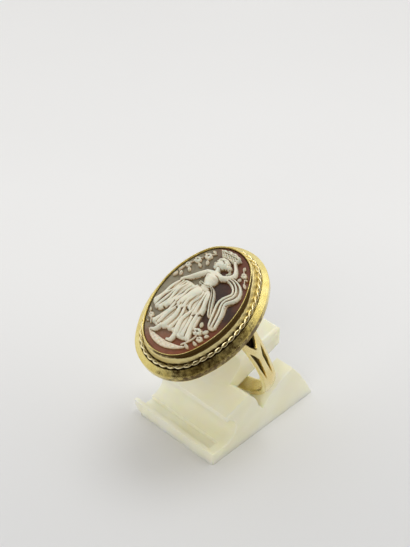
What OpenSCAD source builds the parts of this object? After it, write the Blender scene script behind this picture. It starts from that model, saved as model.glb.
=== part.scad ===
// Cameo ring on a display stand.
// The ring hangs tilted in the groove of a small moulded stand, whose finger reaches through the hoop.
// Ring coordinates: x across the finger, y along the finger hole, z out of the face.
// Their origin is the middle of the hoop.

/* [Band] */
// Inner diameter of the hoop
finger_d = 17; // [15:0.5:19]
// Thickness of the band in the middle of its section
band_t = 1.1; // [0.9:0.1:1.3]
// Width of the band at the bottom of the hoop
band_w = 2.4; // [2:0.1:3]
// Width of the shoulders where they meet the bezel
shoulder_w = 3.55; // [3:0.05:4.4]
// Radius of the crowned outer face, seen along the band
band_crown_r = 3; // [2.6:0.1:6]
// Radius of the long curve of each shoulder
shoulder_r = 27.2; // [20:0.1:60]

/* [Shoulder carving] */
// Depth of the flutes
flute_depth = 0.7; // [0.3:0.05:0.8]
// Height over the hoop's centre where the flutes start
flute_low = 0.1; // [-1:0.1:2]
// Height over the hoop's centre where the middle rib forks
fork_z = 6.4; // [5:0.1:7.6]

/* [Bezel] */
// Height of the rim plane over the hoop's centre
rim_z = 10.5; // [10.4:0.1:12]
// How much further forward the bezel leans than the hoop
face_lean = 1.6; // [0:0.1:3]
// Distance of the bezel's centre behind the hoop's
face_shift = -0.51; // [-0.8:0.01:0.2]
// Radius of the setting's two end curves, at the lip
end_r = 4.9; // [4.4:0.1:5.2]
// Radius of the setting's two long side curves, at the lip
side_r = 12.9; // [12:0.1:14]
// Distance from the lip out to the rim
flange_w = 2; // [1.8:0.02:2.6]
// Thickness of the rim
rim_t = 1.34; // [0.6:0.02:1.5]
// Height of the lip over the rim plane
lip_z = 3; // [2.4:0.1:3.4]
// Width of the ledge under the cameo
ledge_w = 1.5; // [0.8:0.1:2]
// Distance from the lip out to the rope's centre line
rope_out = 0.82; // [0.8:0.01:0.84]
// Diameter of the rope border
rope_d = 0.64; // [0.62:0.01:0.68]

/* [Cameo] */
// Gap between the cameo and the gold round it
cameo_gap = 0.08; // [0.05:0.01:0.2]
// Height of the cameo's ground at its edge, over the rim plane
ground_z = 2.67; // [2:0.01:2.8]
// Rise of the ground from its edge to its middle
ground_dome = 0.4; // [0:0.05:1]

/* [Place of the ring] */
// Forward lean of the ring on the stand
ring_lean = 21.3; // [20:0.1:23]
// Sideways tilt of the ring
ring_tilt = 2.2; // [0:0.1:4]
// Turn of the ring about the vertical
ring_turn = 3.2; // [0:0.1:5]
// Lowest point of the band, measured from the middle of the groove at floor level
ring_seat = [0.39, 1.05, 4.93];

/* [Stand] */
// Width of the stand
stand_w = 15.4; // [12:0.1:20]
// Depth of the stand from front to back
stand_d = 22; // [20:0.1:24]
// Distance of the origin behind the stand's front edge
origin_back = 8.5; // [8:0.1:9]
// Height of the front lip and of the step behind it
lip_h = 2.2; // [1.8:0.1:2.6]
// Radius of the cove under the top slab
cove_r = 2.39; // [2.36:0.01:2.42]
// Radius of the two upright corners at the front
corner_r = 0.6; // [0.2:0.1:1]
// Distance of the groove's bottom behind the front edge
groove_d = 10.75; // [10:0.05:11.5]
// Height of the groove's bottom
groove_h = 4.2; // [3.6:0.1:4.4]
// Width of the notch through the rear block
notch_w = 9; // [8:0.1:10]
// Width of the finger that holds the ring
finger_w = 8.4; // [6:0.1:8.6]

/* [Hidden] */
$fn = 96;

inner_r = finger_d / 2;
outer_r = inner_r + band_t;
// The setting is a four-centre oval. Each seam between an end curve and a side curve runs through
// both their centres, in this direction across and along the oval.
seam = [0.8432, 0.5376];
end_half = atan2(seam.x, seam.y);
side_c = (side_r - end_r) * seam.x;
end_c = (side_r - end_r) * seam.y;
setting_a = end_c + end_r;
setting_b = side_r - side_c;

// Points of an arc from p to q that bulges to the left by sag, without q
function bulge(p, q, sag, n) =
    let (chord = q - p, len = norm(chord), along = chord / len, left = [-along.y, along.x],
         r = (len * len / 4 + sag * sag) / (2 * sag), half = asin(len / 2 / r),
         centre = (p + q) / 2 + left * (sag - r))
    [for (i = [0:n - 1]) let (a = -half + 2 * half * i / n) centre + r * (left * cos(a) + along * sin(a))];

// Directions of the setting's outline, finer along its long sides
end_steps = 16;
side_steps = 26;
outline_dirs = concat(
    [for (i = [0:end_steps - 1]) -end_half + 2 * end_half * i / end_steps],
    [for (i = [0:side_steps - 1]) end_half + (180 - 2 * end_half) * i / side_steps],
    [for (i = [0:end_steps - 1]) 180 - end_half + 2 * end_half * i / end_steps],
    [for (i = [0:side_steps - 1]) 180 + end_half + (180 - 2 * end_half) * i / side_steps]);

// Point of the setting's outline whose normal makes angle a with the long axis, moved outwards by off
function outline_at(a, off) =
    let (dir = [-sin(a), cos(a)], on_end = abs(cos(a)) >= cos(end_half),
         centre = on_end ? [0, sign(cos(a)) * end_c] : [sign(sin(a)) * side_c, 0],
         r = on_end ? end_r : side_r)
    centre + (r + off) * dir;

// Sweeps a section, drawn as distance out from the lip and height, round the setting
module round_the_setting() {
    far = 20;
    reach = seam * far;
    tall = 12;
    for (s = [0, 1]) mirror([0, s, 0]) intersection() {
        translate([0, end_c, 0]) rotate_extrude() translate([end_r, 0]) children();
        translate([0, end_c, -tall / 2]) linear_extrude(height = tall)
            polygon([[0, 0], reach, [reach.x, far + 5], [-reach.x, far + 5], [-reach.x, reach.y]]);
    }
    for (s = [0, 1]) mirror([s, 0, 0]) intersection() {
        translate([side_c, 0, 0]) rotate_extrude() translate([side_r, 0]) children();
        translate([side_c, 0, -tall / 2]) linear_extrude(height = tall)
            polygon([[0, 0], [-reach.x, reach.y], [-far - 5, reach.y], [-far - 5, -reach.y], -reach]);
    }
}

// Puts the ring's own frame on the stand
module on_the_stand() {
    translate([ring_seat.x, groove_d - origin_back + ring_seat.y, ring_seat.z])
        rotate([0, 0, ring_turn]) rotate([ring_lean, 0, 0]) rotate([0, ring_tilt, 0])
            translate([0, 0, outer_r]) children();
}

// Puts what is drawn from the rim plane on the hoop
module on_the_face() {
    translate([0, face_shift, rim_z]) rotate([face_lean, 0, 0]) children();
}

// Section of the band: flat inside, crowned outside, drawn inwards from its outer face
band_edge = shoulder_w / 2 + 0.1;
band_drop = band_crown_r - sqrt(band_crown_r * band_crown_r - band_edge * band_edge);
module band_section() {
    polygon(concat(
        bulge([-band_drop, band_edge], [-band_drop, -band_edge], band_drop, 12),
        [[-band_drop, -band_edge], [-band_t, -band_edge], [-band_t, band_edge]]));
}

// Half width of the band at a height over the hoop's centre: it widens slowly at first
flare_power = 1.9;
function half_width(z) = band_w / 2 + (shoulder_w - band_w) / 2 * pow(max(0, z) / rim_z, flare_power);

// The hoop and its two shoulders before they are narrowed: a half circle and two long curves
shoulder_top = rim_z - rim_t + 0.2;
module hoop_blank() {
    rotate([90, 0, 0]) rotate([0, 0, 180]) rotate_extrude(angle = 180)
        translate([outer_r, 0]) band_section();
    for (m = [0, 1]) mirror([m, 0, 0])
        translate([outer_r - shoulder_r, 0, 0]) rotate([90, 0, 0])
            rotate_extrude(angle = asin(shoulder_top / shoulder_r)) translate([shoulder_r, 0]) band_section();
}

// Side view of the hoop, seen across the finger hole: narrow below, flared at the shoulders
module flare() {
    heights = [for (i = [0:8]) shoulder_top * i / 8];
    reach = outer_r + 1;
    rotate([90, 0, 90]) linear_extrude(height = 2 * reach, center = true)
        polygon(concat([[band_w / 2, -reach]], [for (z = heights) [half_width(z), z]],
            [[half_width(shoulder_top), rim_z], [-half_width(shoulder_top), rim_z]],
            [for (i = [8:-1:0]) [-half_width(heights[i]), heights[i]]], [[-band_w / 2, -reach]]));
}

// One flute: a long wedge between the middle rib and an outer rail, pointed at both ends
rib_w = 0.68;
rail_w = 0.34;
module flute() {
    top = fork_z + 0.9;
    mid = fork_z * 0.45;
    wedge = [[0.6, flute_low], [0.46, flute_low + 1.3], [rib_w / 2, mid], [rib_w / 2, fork_z - 0.9],
        [rib_w / 2 + 0.32, fork_z + 0.1], [half_width(top) - rail_w, top],
        [half_width(fork_z) - rail_w, fork_z], [half_width(mid) - rail_w, mid]];
    translate([outer_r - flute_depth, 0, 0]) rotate([90, 0, 90]) linear_extrude(height = 2) polygon(wedge);
}

// The pocket at the top, where the middle rib forks under the bezel
fork_half = 1;
fork_depth = 0.8;
fork_top = rim_z - rim_t;
module fork_pocket() {
    tip = fork_z + 0.55;
    wide = fork_half * (rim_z - tip) / (fork_top - tip);
    translate([outer_r - fork_depth, 0, 0]) rotate([90, 0, 90]) linear_extrude(height = 3)
        polygon([[0, tip], [wide, rim_z], [-wide, rim_z]]);
}

// Lays a carving, drawn at the outer face of an upright band, on the shoulder's curve at a height
module on_shoulder(z) {
    translate([outer_r - shoulder_r, 0, 0]) rotate([0, -asin(z / shoulder_r), 0])
        translate([shoulder_r - outer_r, 0, -z]) children();
}

// The carving lies a little in front of the band's middle
carving_shift = -0.15;
module carving() {
    translate([0, carving_shift, 0]) {
        on_shoulder(fork_z / 2) for (m = [0, 1]) mirror([0, m, 0]) flute();
        on_shoulder((fork_z + rim_z) / 2) fork_pocket();
    }
}

module shank() {
    difference() {
        intersection() { hoop_blank(); flare(); }
        for (m = [0, 1]) mirror([m, 0, 0]) carving();
    }
}

// Section of the bezel: ledge, rim, sloping flange, rope channel, hollow collar, lip
collar_out = 0.53;
collar_top = [0.27, 2.14];
wall_in = -0.08;
channel_z = 0.62;
flange_in = 1.14;
flange_z = 0.63;
ledge_z = 0.3;
module bezel_section() {
    polygon(concat(
        [[-ledge_w, -rim_t], [flange_w - 0.12, -rim_t], [flange_w, -0.2], [flange_w, -0.02],
         [flange_w - 0.14, 0.1], [flange_in + 0.16, flange_z - 0.09], [flange_in + 0.07, flange_z],
         [flange_in, flange_z - 0.03],
         [flange_in - 0.02, channel_z - 0.06], [collar_out, channel_z - 0.06], [collar_out, 0.9]],
        bulge([collar_out - 0.02, 1], collar_top, 0.05, 5),
        [collar_top, [0.235, 2.26], [0.16, 2.28], [0.15, lip_z - 0.14], [0.12, lip_z], [0.02, lip_z],
         [wall_in, lip_z - 0.15], [wall_in, ledge_z], [-ledge_w, ledge_z]]));
}

module bezel() {
    round_the_setting() bezel_section();
}

module rope_border() {
    round_the_setting() translate([rope_out, channel_z + rope_d / 2 - 0.1]) circle(d = rope_d, $fn = 32);
}

module gold_ring() {
    color("goldenrod") on_the_stand() {
        shank();
        on_the_face() { bezel(); rope_border(); }
    }
}

// The carved picture, seen from above with the long axis upright: a maiden with a basket of fruit on
// her head, a scarf and rose boughs. Each row is one rounded stroke: from x, y and radius, to x, y and
// radius, then its height over the ground.
strokes = [
    // head, hair knot, neck
    [-0.4, 6.1, 0.8, -0.1, 6.3, 0.85, 1.0], [1.0, 6.15, 0.42, 1.1, 6.2, 0.42, 1.0],
    [-0.2, 5.3, 0.4, 0.0, 4.6, 0.5, 0.85],
    // chest, waist, hips
    [0.0, 4.2, 0.9, 0.0, 3.5, 1.1, 1.08], [0.0, 3.5, 1.05, 0.15, 2.4, 0.85, 1.05],
    [0.2, 1.7, 1.1, -0.1, 0.4, 1.3, 1.1],
    // raised arm and reaching arm
    [1.1, 4.3, 0.48, 2.45, 5.4, 0.38, 0.92], [2.45, 5.4, 0.38, 1.35, 7.1, 0.27, 0.88],
    [-1.15, 4.15, 0.5, -2.5, 2.6, 0.38, 0.93], [-2.5, 2.6, 0.36, -3.65, 1.35, 0.28, 0.9],
    // basket and the fruit in it
    [-1.0, 7.4, 0.4, 1.2, 7.4, 0.4, 0.9], [-1.3, 7.9, 0.28, 1.5, 7.9, 0.28, 0.95],
    [-0.6, 8.25, 0.4, 0.7, 8.25, 0.4, 0.95],
    // overskirt and the knee under it
    [-0.1, 1.0, 1.1, -1.1, -1.4, 0.8, 1.15], [0.5, 1.2, 1.1, 1.5, -1.6, 0.8, 1.0],
    // long folds of the skirt
    [-0.6, 0.4, 0.9, -2.5, -5.4, 0.55, 0.85], [-0.2, 0.4, 0.9, -0.9, -5.6, 0.6, 0.9],
    [0.2, 0.4, 0.9, 0.8, -5.6, 0.6, 0.9], [0.6, 0.4, 0.9, 2.4, -5.4, 0.6, 0.85],
    // panel of the skirt in the reaching hand
    [-3.3, 1.2, 0.5, -4.6, -2.8, 0.5, 0.75], [-2.6, 1.2, 0.5, -3.9, -3.3, 0.55, 0.75],
    [-1.8, 1.1, 0.6, -3.0, -2.8, 0.6, 0.75],
    // feet
    [-1.6, -5.8, 0.35, -2.4, -6.9, 0.25, 0.75], [1.0, -5.8, 0.35, 0.6, -6.9, 0.27, 0.7],
    // scarf that swings out from her shoulder
    [1.7, 4.6, 0.4, 3.9, 4.1, 0.65, 0.78], [3.9, 4.1, 0.65, 4.4, 2.9, 0.7, 0.82],
    [4.4, 2.9, 0.7, 3.8, 1.3, 0.7, 0.82], [3.8, 1.3, 0.7, 4.2, -0.4, 0.7, 0.78],
    [4.2, -0.4, 0.7, 4.55, -2.4, 0.55, 0.68],
    // roses
    [-2.9, 6.35, 0.62, -3.0, 6.3, 0.6, 0.7], [-3.9, 5.15, 0.6, -4.0, 5.1, 0.6, 0.7],
    [-4.7, 3.85, 0.5, -4.75, 3.8, 0.5, 0.66], [3.35, -4.05, 0.7, 3.5, -4.2, 0.6, 0.72],
    [4.25, -4.75, 0.5, 4.3, -4.8, 0.45, 0.6], [3.5, 6.35, 0.5, 3.55, 6.3, 0.5, 0.6],
    [-4.1, -5.2, 0.5, -4.1, -5.1, 0.5, 0.55],
    // turf under her feet
    [-2.8, -7.0, 0.45, 0.0, -7.6, 0.55, 0.4], [0.0, -7.6, 0.55, 2.6, -7.0, 0.45, 0.4]];

function stroke_height(p, s) =
    let (a = [s[0], s[1]], b = [s[3], s[4]], ab = b - a, t = max(0, min(1, (p - a) * ab / (ab * ab))),
         q = norm(p - a - t * ab) / (s[2] + (s[5] - s[2]) * t))
    q >= 1 ? 0 : s[6] * sqrt(1 - q * q);
function relief(p) = max([for (s = strokes) stroke_height(p, s)]);
function ground(p) =
    ground_z + ground_dome * (1 - pow(p.x / setting_b, 2) - pow(p.y / setting_a, 2));

// The relief fades out at the very edge, under the lip
function face_height(p, f) = max(ground(p), ground_z) + relief(p) * min(1, (1 - f) * 12);

// Shell plate with the carved picture on its domed front
cameo_rings = 22;
module cameo() {
    n = len(outline_dirs);
    edge = [for (a = outline_dirs) outline_at(a, wall_in - cameo_gap)];
    top = [for (i = [1:cameo_rings]) for (e = edge)
        let (f = i / cameo_rings, p = e * f) [p.x, p.y, face_height(p, f)]];
    under = [for (e = edge) [e.x, e.y, ledge_z + cameo_gap]];
    points = concat(top, under, [[0, 0, face_height([0, 0], 0)], [0, 0, ledge_z + cameo_gap]]);
    top_mid = len(points) - 2;
    under_mid = len(points) - 1;
    faces = concat(
        [for (j = [0:n - 1]) [top_mid, (j + 1) % n, j]],
        [for (i = [0:cameo_rings - 1]) for (j = [0:n - 1])
            let (a = i * n + j, b = i * n + (j + 1) % n) each [[a, b, a + n], [b, b + n, a + n]]],
        [for (j = [0:n - 1]) [under_mid, cameo_rings * n + j, cameo_rings * n + (j + 1) % n]]);
    color("wheat") on_the_stand() on_the_face() polyhedron(points = points, faces = faces);
}

// Outline of the stand seen from its side: distance behind the front edge, height
step_d = 2.2;
slab = [2.85, 7.75];
slab_back = [7.2, 9.1];
slab_foot = [9.7, 5.6];
rear_top = [17.2, 8.1];
cove_mid = [2.61, 4.5];
module stand_profile() {
    polygon(concat(
        [[0, 0], [0, lip_h - 0.1], [0.1, lip_h], [step_d, lip_h - 0.05], [slab.x, 6.8], slab],
        bulge(slab_back, slab_foot, 0.45, 6), [slab_foot],
        bulge([groove_d, groove_h], rear_top, 0.68, 8),
        bulge(rear_top, [stand_d, 0], 0.3, 6),
        [[stand_d, 0]]));
}

// Side view of the finger, tip to the rear
finger_under = [[6.5, 5.25], [16.4, 8.5]];
finger_over = [[10, 11.9], [17.9, 13.25]];
module finger_profile() {
    polygon(concat(
        [finger_under[0]], [finger_under[1]], [[18.2, 9.65], [19.05, 10.5], [19.2, 11.05], [18.5, 12.55]],
        [[18.25, 13.05]], [finger_over[1]],
        bulge(finger_over[0], [5.4, 8.2], 0.35, 5), [[5.4, 8.2]]));
}

// Section of the finger, seen along it: wide fillets below, small ones above
module finger_section(low_r, high_r, height) {
    w = finger_w / 2;
    function corner(cx, cy, r, a) = [for (i = [0:6]) [cx + r * cos(a + 15 * i), cy + r * sin(a + 15 * i)]];
    polygon(concat(corner(w - low_r, low_r, low_r, -90), corner(w - high_r, height - high_r, high_r, 0),
        corner(high_r - w, height - high_r, high_r, 90), corner(low_r - w, low_r, low_r, 180)));
}

// Runs the section along a line of the side view; lift is the line's place above the section's foot
module along_line(line, lift) {
    run = line[1] - line[0];
    translate([0, line[0].x, line[0].y]) rotate([90 + atan2(run.y, run.x), 0, 0])
        translate([0, -lift, -24]) linear_extrude(height = 36) children();
}

// Plan of the finger: its tip is rounded
tip_r = 2;
tip_at = 19.2;
module finger_plan() {
    w = finger_w / 2;
    function corner(x, from) =
        [for (i = [0:6]) [x + tip_r * cos(from + 15 * i), tip_at - tip_r + tip_r * sin(from + 15 * i)]];
    polygon(concat([[-w, 4], [w, 4]], corner(w - tip_r, 0), corner(tip_r - w, 90)));
}

module finger() {
    intersection() {
        side_extrude(finger_w) finger_profile();
        linear_extrude(height = 20) finger_plan();
        along_line(finger_under, 0) finger_section(2.3, 0.5, 12);
        along_line(finger_over, 12) finger_section(0.5, 1.2, 12);
    }
}

// Draws a side view, given as distance behind the front edge and height, at its place over a width
module side_extrude(width) {
    rotate([90, 0, 90]) linear_extrude(height = width, center = true) children();
}

// What is cut away to round the upright corners at the front
module front_corners() {
    reach = corner_r + 1;
    for (m = [0, 1]) mirror([m, 0, 0]) translate([stand_w / 2 - corner_r, corner_r, 0]) difference() {
        translate([0, -reach, -1]) cube([reach, reach, lip_h + 2]);
        cylinder(r = corner_r, h = 20, center = true);
    }
}

// Slot for a card behind the front lip, open at its left end
slot_right = 6.2;
slot_front = 0.72;
slot_d = 1.86;
slot_depth = 0.75;
// The lip's left end stands out beyond the side, more at its top
tab_out = 1.1;
tab_up = 0.15;
module lip_tab() {
    side = -stand_w / 2;
    translate([0, slot_front, 0]) rotate([90, 0, 0]) linear_extrude(height = slot_front)
        polygon([[side + 0.7, 0.3], [side, 0.5], [side - tab_out, 1.5], [side - tab_out, lip_h + tab_up],
            [side + 0.7, lip_h]]);
}

// The notch starts a little in front of the groove's bottom, so that the band hangs free in it
notch_from = groove_d - 1.65;
module display_stand() {
    color("beige") translate([0, -origin_back, 0]) union() {
        difference() {
            side_extrude(stand_w) stand_profile();
            translate([0, cove_mid.x, cove_mid.y]) rotate([0, 90, 0])
                cylinder(r = cove_r, h = stand_w + 1, center = true);
            translate([-stand_w, slot_front, lip_h - slot_depth])
                cube([stand_w + slot_right, slot_d, slot_depth + 1]);
            translate([-notch_w / 2, notch_from, -1]) cube([notch_w, stand_d, 12]);
            front_corners();
        }
        lip_tab();
        finger();
    }
}

gold_ring();
cameo();
display_stand();
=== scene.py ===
from math import acos, asin, atan2, cos, hypot, inf, pi, radians, sin, tan

import bmesh
import bpy
import numpy as np
from mathutils import Matrix, Vector


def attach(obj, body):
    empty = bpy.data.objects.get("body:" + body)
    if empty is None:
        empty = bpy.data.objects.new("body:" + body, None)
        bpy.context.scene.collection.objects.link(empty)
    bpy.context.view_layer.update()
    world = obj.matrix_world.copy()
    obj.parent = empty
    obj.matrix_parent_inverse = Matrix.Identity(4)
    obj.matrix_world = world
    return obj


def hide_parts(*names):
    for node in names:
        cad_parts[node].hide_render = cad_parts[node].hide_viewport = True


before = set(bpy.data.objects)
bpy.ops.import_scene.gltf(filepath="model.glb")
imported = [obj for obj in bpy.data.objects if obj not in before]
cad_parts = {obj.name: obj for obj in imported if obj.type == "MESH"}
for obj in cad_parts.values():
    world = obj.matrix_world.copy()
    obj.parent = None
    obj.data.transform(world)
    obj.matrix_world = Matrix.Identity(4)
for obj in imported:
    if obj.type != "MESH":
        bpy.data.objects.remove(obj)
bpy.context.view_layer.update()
mm = 0.001
print("frame loaded:", sorted(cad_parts))


class Wire:  # a socket that takes part in plain arithmetic
    def __init__(self, finish, socket):
        self.finish, self.socket = finish, socket

    def __add__(self, other):
        return self.finish.maths("ADD", self, other)

    def __radd__(self, other):
        return self.finish.maths("ADD", other, self)

    def __sub__(self, other):
        return self.finish.maths("SUBTRACT", self, other)

    def __rsub__(self, other):
        return self.finish.maths("SUBTRACT", other, self)

    def __mul__(self, other):
        return self.finish.maths("MULTIPLY", self, other)

    def __rmul__(self, other):
        return self.finish.maths("MULTIPLY", other, self)

    def between(self, low, high):  # 0 below low, 1 above high, smooth in between
        return self.finish.wire("ShaderNodeMapRange", {"interpolation_type": "SMOOTHSTEP"},
                                {"Value": self, "From Min": low, "From Max": high})


class Finish:  # one material, or the world, and the nodes in it
    def __init__(self, name, owner=None):
        self.data = owner or bpy.data.materials.new(name)
        self.data.use_nodes = True
        self.tree = self.data.node_tree
        self.tree.nodes.clear()

    def add(self, kind, settings=None, sockets=None):  # sockets go by name or number, to a value or a wire
        node = self.tree.nodes.new(kind)
        for key, value in (settings or {}).items():
            setattr(node, key, value)
        for key, value in (sockets or {}).items():
            if isinstance(value, Wire):
                self.tree.links.new(value.socket, node.inputs[key])
            else:
                node.inputs[key].default_value = (*value, 1) if node.inputs[key].type == "RGBA" else value
        return node

    def wire(self, kind, settings=None, sockets=None, out=0):
        return Wire(self, self.add(kind, settings, sockets).outputs[out])

    def maths(self, operation, *values):
        return self.wire("ShaderNodeMath", {"operation": operation}, dict(enumerate(values)))

    def toward(self, vector, direction):  # how far a vector points this way
        return self.wire("ShaderNodeVectorMath", {"operation": "DOT_PRODUCT"}, {0: vector, 1: direction}, "Value")

    def place(self, stretch=(1, 1, 1), turn=(0, 0, 0)):  # where a point lies on the piece, in millimetres
        spot = self.wire("ShaderNodeTexCoord", out="Object")
        return self.wire("ShaderNodeMapping", {}, {
            "Vector": spot, "Rotation": turn, "Scale": tuple(s / mm for s in stretch)})

    def noise(self, scale, detail=3.0, where=None, rough=0.5):
        return self.wire("ShaderNodeTexNoise", {}, {
            "Vector": where or self.place(), "Scale": scale, "Detail": detail, "Roughness": rough})

    def mark(self, name):  # a number kept on the mesh
        return self.wire("ShaderNodeAttribute", {"attribute_name": name}, out="Fac")

    def mix(self, share, first, second):  # two colours
        return self.wire("ShaderNodeMix", {"data_type": "RGBA"}, {0: share, 6: first, 7: second}, 2)

    def bump(self, height, strength, depth, under=None):  # depth in millimetres
        sockets = {"Height": height, "Strength": strength, "Distance": depth * mm}
        if under:
            sockets["Normal"] = under
        return self.wire("ShaderNodeBump", {}, sockets)

    def surface(self, **sockets):
        body = self.add("ShaderNodeBsdfPrincipled", {}, {k.replace("_", " "): v for k, v in sockets.items()})
        out = self.add("ShaderNodeOutputMaterial")
        self.tree.links.new(body.outputs[0], out.inputs[0])
        return self.data


# colours, then noise sizes per millimetre and roughness
# each look's darkest colour stands for painted shade and dark reflection in grooves and hollows, with some dirt
goldLooks = {
    "bezel": {"colour": (0.93, 0.80, 0.34), "deepColour": (0.85, 0.68, 0.21), "shadeAndDirt": (0.115, 0.066, 0.017),
              "collarColour": (0.94, 0.82, 0.42), "collarRough": 0.16, "patchScale": 1.4, "patchy": 6.0,
              "cloudScale": 0.5, "roughness": 0.12, "roughSpread": 0.10, "scratchRough": 0.20, "dirtRough": 0.25,
              "waveScale": 1.4, "waveStrength": 0.5, "waveDepth": 0.035, "scratchStrength": 0.4},
    "rope": {"colour": (0.95, 0.86, 0.56), "deepColour": (0.90, 0.76, 0.42), "shadeAndDirt": (0.16, 0.09, 0.035),
             "cloudScale": 1.5, "roughness": 0.13, "roughSpread": 0.08, "scratchRough": 0.05, "dirtRough": 0.3,
             "waveScale": 3.0, "waveStrength": 0.2, "waveDepth": 0.01, "scratchStrength": 0.1},
    "shank": {"colour": (0.92, 0.82, 0.46), "deepColour": (0.88, 0.72, 0.33), "shadeAndDirt": (0.022, 0.013, 0.006),
              "cloudScale": 0.4, "roughness": 0.13, "roughSpread": 0.08, "scratchRough": 0.12, "dirtRough": 0.35,
              "waveScale": 0.9, "waveStrength": 0.25, "waveDepth": 0.02, "scratchStrength": 0.2},
}
# each scratch direction has a turn and a stretch of its noise; a scratch runs where that noise crosses its middle
scratches = {"directions": ((0.4, (9, 0.5, 3)), (1.9, (11, 0.7, 4)), (2.7, (0.6, 8, 5))),
             "width": 0.035, "depth": 0.012}


def goldFinish(name, look):  # the mesh's groove mark says where old polish and some dirt stay and where painted shade and dark reflection go
    f = Finish(name)
    cloudy, groove = f.noise(look["cloudScale"], 2.0), f.mark("groove")
    scratch = 0.0
    for turn, stretch in scratches["directions"]:
        away = f.noise(1.0, 1.0, f.place(stretch, (0.3, turn, turn * 2)), 0.4) - 0.5
        scratch = f.maths("MAXIMUM", scratch, 1 - f.maths("ABSOLUTE", away).between(0.0, scratches["width"]))
    tone = f.mix(cloudy.between(0.3, 0.7), look["colour"], look["deepColour"])
    rough = look["roughness"] + cloudy.between(0.35, 0.75) * look["roughSpread"] + scratch * look["scratchRough"]
    rough, shadedAndDirty = rough + groove * look["dirtRough"], groove
    if "collarColour" in look:  # the bezel's collar is paler and duller, and half-darkened places of painted shade and dirt are patchy
        collar = f.mark("collar")
        tone = f.mix(collar, tone, look["collarColour"])
        rough = rough + collar * look["collarRough"]
        patches = f.noise(look["patchScale"], 5.0, rough=0.65) - 0.5
        shadedAndDirty = groove + patches * groove * (1 - groove) * look["patchy"]
    # the darkest colour is painted shade and dark reflection, with some dirt, where the groove mark lies
    tone = f.mix(shadedAndDirty.between(0.25, 0.85), tone, look["shadeAndDirt"])
    waves = f.bump(f.noise(look["waveScale"], 2.0), look["waveStrength"], look["waveDepth"])
    normal = f.bump(scratch, look["scratchStrength"], scratches["depth"], waves)
    return f.surface(Base_Color=tone, Metallic=1.0, Roughness=rough, Normal=normal)


# layers, and hollow tones that are partly stain and partly painted shade: colour, then the height or hollow where
# it begins and where it is full
shellLook = {"taupe": (0.26, 0.23, 0.155), "plum": (0.034, 0.013, 0.006), "orange": (0.235, 0.056, 0.016),
             "bark": (0.07, 0.036, 0.015), "amber": (0.33, 0.20, 0.075), "cream": (0.74, 0.63, 0.47),
             "white": (0.82, 0.79, 0.64), "cool": (0.73, 0.74, 0.62),
             "layers": (("amber", 0.05, 0.14), ("cream", 0.12, 0.26)), "crest": (0.24, 0.5),
             "shadeAndStains": (("amber", 0.08, 0.6), ("bark", 0.5, 0.95)), "grainScale": 1.3, "roughness": 0.20}


def shellFinish():
    f = Finish("carved_shell")
    carve, hollow = f.mark("carve"), f.mark("hollow")
    across, along = f.mark("across"), f.mark("along")
    grain = f.noise(shellLook["grainScale"], 4.0)
    # the ground: taupe to the left, plum at the right, orange at the foot and the head, with brown clouds
    right = (across + 0.25 * along + grain * 1.5).between(-1.5, 3.5)
    foot = (-1.0 * along + grain * 2.0 + across * 0.6).between(4.0, 8.5)
    head = (along + grain * 2.0 + across * 0.8).between(5.5, 9.0)
    tone = f.mix(right, shellLook["taupe"], shellLook["plum"])
    tone = f.mix(f.maths("MAXIMUM", foot * 0.85, head * 0.6), tone, shellLook["orange"])
    tone = f.mix(grain.between(0.4, 0.8) * 0.35, tone, shellLook["bark"])
    # the relief's layers, up to the white crest, and painted shade with some stain in its hollows
    height = carve + (grain - 0.5) * 0.08
    for colour, low, high in shellLook["layers"]:
        tone = f.mix(height.between(low, high), tone, shellLook[colour])
    white = f.mix(f.noise(0.6, 2.0).between(0.4, 0.65), shellLook["white"], shellLook["cool"])
    tone = f.mix(height.between(*shellLook["crest"]), tone, white)
    for colour, low, high in shellLook["shadeAndStains"]:
        tone = f.mix(hollow.between(low, high), tone, shellLook[colour])
    rough = shellLook["roughness"] + 0.10 * carve + 0.1 * grain
    normal = f.bump(f.noise(9.0, 3.0), 0.12, 0.02)
    return f.surface(Base_Color=tone, Roughness=rough, Normal=normal, Subsurface_Weight=0.15,
                     Subsurface_Radius=(1.0, 0.55, 0.35), Subsurface_Scale=0.35 * mm, IOR=1.5)


plasticLook = {"colour": (0.95, 0.93, 0.76), "warm": (0.92, 0.89, 0.67), "dust": (0.66, 0.61, 0.46),
               "cloudScale": 0.12, "dustScale": 2.5, "roughness": 0.15, "depth": 0.5}


def plasticFinish():
    f = Finish("ivory_plastic")
    cloudy = f.noise(plasticLook["cloudScale"], 3.0)
    dusty = f.noise(plasticLook["dustScale"], 5.0, rough=0.7).between(0.62, 0.78)
    tone = f.mix(cloudy.between(0.35, 0.65), plasticLook["colour"], plasticLook["warm"])
    tone = f.mix(dusty * 0.15, tone, plasticLook["dust"])
    rough = plasticLook["roughness"] + cloudy * 0.08 + dusty * 0.12
    ripple = f.bump(f.noise(0.35, 2.0), 0.35, 0.05)
    normal = f.bump(f.noise(12.0, 2.0), 0.05, 0.02, ripple)
    return f.surface(Base_Color=tone, Roughness=rough, Normal=normal, Subsurface_Weight=plasticLook["depth"],
                     Subsurface_Radius=(1.0, 0.85, 0.42), Subsurface_Scale=2.2 * mm, IOR=1.5)


def makePiece(name, points, faces, finish, stands, sharp, marks):  # from points in metres
    mesh = bpy.data.meshes.new(name)
    mesh.from_pydata(np.asarray(points).tolist(), [], [list(map(int, face)) for face in faces])
    for key, values in marks.items():
        mesh.attributes.new(key, "FLOAT", "POINT").data.foreach_set("value", np.asarray(values, np.float32))
    work = bmesh.new()
    work.from_mesh(mesh)
    bmesh.ops.remove_doubles(work, verts=work.verts, dist=0.0005 * mm)
    bmesh.ops.recalc_face_normals(work, faces=work.faces)
    work.to_mesh(mesh)
    work.free()
    finishPiece(name, mesh, finish, stands, sharp)


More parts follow.
